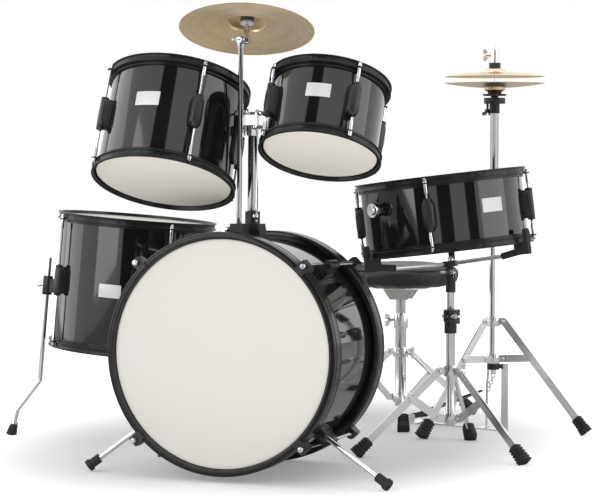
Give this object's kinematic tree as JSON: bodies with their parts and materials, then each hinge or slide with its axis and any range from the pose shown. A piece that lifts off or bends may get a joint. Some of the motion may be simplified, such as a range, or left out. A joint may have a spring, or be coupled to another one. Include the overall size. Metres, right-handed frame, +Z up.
{
  "type": "drum kit",
  "caption": "Junior acoustic drum kit: bass drum with mounted toms and crash, floor tom, snare on stand, hi-hat and throne",
  "frame": {"origin": "on the floor under the middle of the whole kit", "axes": "+Z up; -Y is the front, where the bass drum head faces; the drummer sits on the +Y side; +X is the hi-hat side"},
  "size_m": [1.1358, 1.1057, 0.8621],
  "materials": {
    "shell_wrap": "thin wood shell in a high-gloss black wrap",
    "hoop_black": "satin black powder coat on pressed steel",
    "head_film": "coated ivory drum film",
    "lug_black": "black cast lugs with plated tension rods",
    "mount_black": "black moulded mount block with plated wing screws",
    "chrome_steel": "chrome plated steel with black rubber feet and grips",
    "cymbal_bronze": "lathed yellow cymbal alloy",
    "seat_vinyl": "black vinyl over foam padding"
  },
  "bodies": {
    "kit_base": {"bass_shell": "shell_wrap", "bass_hoops": "hoop_black", "bass_heads": "head_film", "bass_lugs": "lug_black", "bass_mount": "mount_black", "floor_tom_shell": "shell_wrap", "floor_tom_hoops": "hoop_black", "floor_tom_heads": "head_film", "floor_tom_lugs": "lug_black", "snare_stand_tube": "chrome_steel", "hihat_stand_tube": "chrome_steel", "hihat_base": "chrome_steel", "hihat_bottom_cymbal": "cymbal_bronze", "throne_tube": "chrome_steel"},
    "bass_spur_left": {"bass_spur_left": "chrome_steel"},
    "bass_spur_right": {"bass_spur_right": "chrome_steel"},
    "floor_tom_legs": {"floor_tom_legs": "chrome_steel"},
    "tom_post": {"tom_post": "chrome_steel"},
    "left_tom": {"left_tom_shell": "shell_wrap", "left_tom_hoops": "hoop_black", "left_tom_heads": "head_film", "left_tom_lugs": "lug_black"},
    "right_tom": {"right_tom_shell": "shell_wrap", "right_tom_hoops": "hoop_black", "right_tom_heads": "head_film", "right_tom_lugs": "lug_black"},
    "crash_rod": {"crash_rod": "chrome_steel"},
    "crash_cymbal": {"crash_cymbal": "cymbal_bronze"},
    "snare_collar": {"snare_collar": "chrome_steel"},
    "snare_leg_1": {"snare_leg_1": "chrome_steel"},
    "snare_strut_1": {"snare_strut_1": "chrome_steel"},
    "snare_leg_2": {"snare_leg_2": "chrome_steel"},
    "snare_strut_2": {"snare_strut_2": "chrome_steel"},
    "snare_leg_3": {"snare_leg_3": "chrome_steel"},
    "snare_strut_3": {"snare_strut_3": "chrome_steel"},
    "snare_post": {"snare_post": "chrome_steel"},
    "snare_drum": {"snare_basket": "chrome_steel", "snare_shell": "shell_wrap", "snare_hoops": "hoop_black", "snare_heads": "head_film", "snare_lugs": "lug_black"},
    "snare_strainer": {"snare_strainer": "chrome_steel"},
    "hihat_collar": {"hihat_collar": "chrome_steel"},
    "hihat_leg_1": {"hihat_leg_1": "chrome_steel"},
    "hihat_strut_1": {"hihat_strut_1": "chrome_steel"},
    "hihat_leg_2": {"hihat_leg_2": "chrome_steel"},
    "hihat_strut_2": {"hihat_strut_2": "chrome_steel"},
    "hihat_pull_rod": {"hihat_pull_rod": "chrome_steel", "hihat_top_cymbal": "cymbal_bronze"},
    "hihat_pedal": {"hihat_pedal": "chrome_steel"},
    "throne_collar": {"throne_collar": "chrome_steel"},
    "throne_leg_1": {"throne_leg_1": "chrome_steel"},
    "throne_strut_1": {"throne_strut_1": "chrome_steel"},
    "throne_leg_2": {"throne_leg_2": "chrome_steel"},
    "throne_strut_2": {"throne_strut_2": "chrome_steel"},
    "throne_leg_3": {"throne_leg_3": "chrome_steel"},
    "throne_strut_3": {"throne_strut_3": "chrome_steel"},
    "throne_post": {"throne_post": "chrome_steel", "throne_seat": "seat_vinyl"}
  },
  "joints": [
    {"name": "spur_left_slide", "type": "slide", "parent": "kit_base", "child": "bass_spur_left", "axis": [-0.7579, -0.2678, -0.5949], "range_m": [-0.03, 0.04]},
    {"name": "spur_right_slide", "type": "slide", "parent": "kit_base", "child": "bass_spur_right", "axis": [0.8397, -0.276, -0.4677], "range_m": [-0.03, 0.04]},
    {"name": "floor_tom_legs_slide", "type": "slide", "parent": "kit_base", "child": "floor_tom_legs", "axis": [0.0786, 0.0334, 0.9963], "range_m": [-0.05, 0.02]},
    {"name": "tom_post_slide", "type": "slide", "parent": "kit_base", "child": "tom_post", "axis": [0, 0.0349, 0.9994], "range_m": [-0.015, 0.05]},
    {"name": "left_tom_tilt", "type": "hinge", "parent": "tom_post", "child": "left_tom", "pos_m": [0.06511, -0.37163, 0.62786], "axis": [1, 0, 0], "range_deg": [-8, 10]},
    {"name": "right_tom_tilt", "type": "hinge", "parent": "tom_post", "child": "right_tom", "pos_m": [0.14511, -0.37163, 0.62786], "axis": [1, 0, 0], "range_deg": [-8, 10]},
    {"name": "crash_rod_slide", "type": "slide", "parent": "kit_base", "child": "crash_rod", "axis": [0, 0.0349, 0.9994], "range_m": [-0.04, 0.06]},
    {"name": "crash_spin", "type": "hinge", "parent": "crash_rod", "child": "crash_cymbal", "pos_m": [0.08513, -0.38201, 0.82329], "axis": [-0.0791, 0.3243, 0.9426], "continuous": true},
    {"name": "snare_tripod_fold", "type": "slide", "parent": "kit_base", "child": "snare_collar", "axis": [0, 0, 1], "range_m": [0, 0.03]},
    {"name": "snare_leg_1_hinge", "type": "hinge", "parent": "snare_collar", "child": "snare_leg_1", "pos_m": [0.35994, 0.00352, 0.161], "axis": [-0.9986, -0.0523, 0], "range_deg": [0, 15.39]},
    {"name": "snare_strut_1_hinge", "type": "hinge", "parent": "kit_base", "child": "snare_strut_1", "pos_m": [0.35994, 0.00352, 0.07], "axis": [-0.9986, -0.0523, 0], "range_deg": [-19.1, 0]},
    {"name": "snare_leg_2_hinge", "type": "hinge", "parent": "snare_collar", "child": "snare_leg_2", "pos_m": [0.34232, -0.03105, 0.161], "axis": [0.5446, -0.8387, 0], "range_deg": [0, 15.39]},
    {"name": "snare_strut_2_hinge", "type": "hinge", "parent": "kit_base", "child": "snare_strut_2", "pos_m": [0.34232, -0.03105, 0.07], "axis": [0.5446, -0.8387, 0], "range_deg": [-19.1, 0]},
    {"name": "snare_leg_3_hinge", "type": "hinge", "parent": "snare_collar", "child": "snare_leg_3", "pos_m": [0.38107, -0.02902, 0.161], "axis": [0.454, 0.891, 0], "range_deg": [0, 15.39]},
    {"name": "snare_strut_3_hinge", "type": "hinge", "parent": "kit_base", "child": "snare_strut_3", "pos_m": [0.38107, -0.02902, 0.07], "axis": [0.454, 0.891, 0], "range_deg": [-19.1, 0]},
    {"name": "snare_height", "type": "slide", "parent": "kit_base", "child": "snare_post", "axis": [0, 0, 1], "range_m": [0, 0.06]},
    {"name": "snare_tilt", "type": "hinge", "parent": "snare_post", "child": "snare_drum", "pos_m": [0.36111, -0.01885, 0.352], "axis": [0, -1, 0], "range_deg": [-15, 5]},
    {"name": "snare_strainer_turn", "type": "hinge", "parent": "snare_drum", "child": "snare_strainer", "pos_m": [0.26325, -0.1503, 0.47499], "axis": [-0.526, -0.848, -0.0646], "continuous": true},
    {"name": "hihat_tripod_fold", "type": "slide", "parent": "kit_base", "child": "hihat_collar", "axis": [0, 0, 1], "range_m": [0, 0.03]},
    {"name": "hihat_leg_1_hinge", "type": "hinge", "parent": "hihat_collar", "child": "hihat_leg_1", "pos_m": [0.34824, 0.29515, 0.229], "axis": [0.848, -0.5299, 0], "range_deg": [0, 4.35]},
    {"name": "hihat_strut_1_hinge", "type": "hinge", "parent": "kit_base", "child": "hihat_strut_1", "pos_m": [0.34824, 0.29515, 0.151], "axis": [0.848, -0.5299, 0], "range_deg": [-25.54, 0]},
    {"name": "hihat_leg_2_hinge", "type": "hinge", "parent": "hihat_collar", "child": "hihat_leg_2", "pos_m": [0.3825, 0.31337, 0.229], "axis": [0.0349, 0.9994, 0], "range_deg": [0, 4.35]},
    {"name": "hihat_strut_2_hinge", "type": "hinge", "parent": "kit_base", "child": "hihat_strut_2", "pos_m": [0.3825, 0.31337, 0.151], "axis": [0.0349, 0.9994, 0], "range_deg": [-25.54, 0]},
    {"name": "hihat_rod_slide", "type": "slide", "parent": "kit_base", "child": "hihat_pull_rod", "axis": [0, 0, 1], "range_m": [-0.01, 0], "stiffness_N_per_m": 500, "springref_m": 0.03},
    {"name": "hihat_pedal_hinge", "type": "hinge", "parent": "kit_base", "child": "hihat_pedal", "pos_m": [0.17911, 0.37515, 0.016], "axis": [0.3199, 0.9474, 0], "range_deg": [0, 3.54]},
    {"name": "throne_tripod_fold", "type": "slide", "parent": "kit_base", "child": "throne_collar", "axis": [0, 0, 1], "range_m": [0, 0.026]},
    {"name": "throne_leg_1_hinge", "type": "hinge", "parent": "throne_collar", "child": "throne_leg_1", "pos_m": [0.1501, 0.4167, 0.148], "axis": [-0.7547, 0.6561, 0], "range_deg": [0, 15.65]},
    {"name": "throne_strut_1_hinge", "type": "hinge", "parent": "kit_base", "child": "throne_strut_1", "pos_m": [0.1501, 0.4167, 0.05], "axis": [-0.7547, 0.6561, 0], "range_deg": [-14.76, 0]},
    {"name": "throne_leg_2_hinge", "type": "hinge", "parent": "throne_collar", "child": "throne_leg_2", "pos_m": [0.10769, 0.40209, 0.148], "axis": [-0.1908, -0.9816, 0], "range_deg": [0, 15.65]},
    {"name": "throne_strut_2_hinge", "type": "hinge", "parent": "kit_base", "child": "throne_strut_2", "pos_m": [0.10769, 0.40209, 0.05], "axis": [-0.1908, -0.9816, 0], "range_deg": [-14.76, 0]},
    {"name": "throne_leg_3_hinge", "type": "hinge", "parent": "throne_collar", "child": "throne_leg_3", "pos_m": [0.14154, 0.37266, 0.148], "axis": [0.9455, 0.3256, 0], "range_deg": [0, 15.65]},
    {"name": "throne_strut_3_hinge", "type": "hinge", "parent": "kit_base", "child": "throne_strut_3", "pos_m": [0.14154, 0.37266, 0.05], "axis": [0.9455, 0.3256, 0], "range_deg": [-14.76, 0]},
    {"name": "throne_height", "type": "slide", "parent": "kit_base", "child": "throne_post", "axis": [0, 0, 1], "range_m": [0, 0.07]}
  ],
  "couplings": [
    {"joint": "snare_leg_1_hinge", "follows": "snare_tripod_fold", "rad_per_m": 8.9457},
    {"joint": "snare_strut_1_hinge", "follows": "snare_tripod_fold", "rad_per_m": -11.104},
    {"joint": "snare_leg_2_hinge", "follows": "snare_tripod_fold", "rad_per_m": 8.9457},
    {"joint": "snare_strut_2_hinge", "follows": "snare_tripod_fold", "rad_per_m": -11.104},
    {"joint": "snare_leg_3_hinge", "follows": "snare_tripod_fold", "rad_per_m": 8.9457},
    {"joint": "snare_strut_3_hinge", "follows": "snare_tripod_fold", "rad_per_m": -11.104},
    {"joint": "hihat_leg_1_hinge", "follows": "hihat_tripod_fold", "rad_per_m": 2.5258},
    {"joint": "hihat_strut_1_hinge", "follows": "hihat_tripod_fold", "rad_per_m": -14.854},
    {"joint": "hihat_leg_2_hinge", "follows": "hihat_tripod_fold", "rad_per_m": 2.5258},
    {"joint": "hihat_strut_2_hinge", "follows": "hihat_tripod_fold", "rad_per_m": -14.854},
    {"joint": "hihat_pedal_hinge", "follows": "hihat_rod_slide", "rad_per_m": -6.1522},
    {"joint": "throne_leg_1_hinge", "follows": "throne_tripod_fold", "rad_per_m": 10.501},
    {"joint": "throne_strut_1_hinge", "follows": "throne_tripod_fold", "rad_per_m": -9.9026},
    {"joint": "throne_leg_2_hinge", "follows": "throne_tripod_fold", "rad_per_m": 10.501},
    {"joint": "throne_strut_2_hinge", "follows": "throne_tripod_fold", "rad_per_m": -9.9026},
    {"joint": "throne_leg_3_hinge", "follows": "throne_tripod_fold", "rad_per_m": 10.501},
    {"joint": "throne_strut_3_hinge", "follows": "throne_tripod_fold", "rad_per_m": -9.9026}
  ]
}
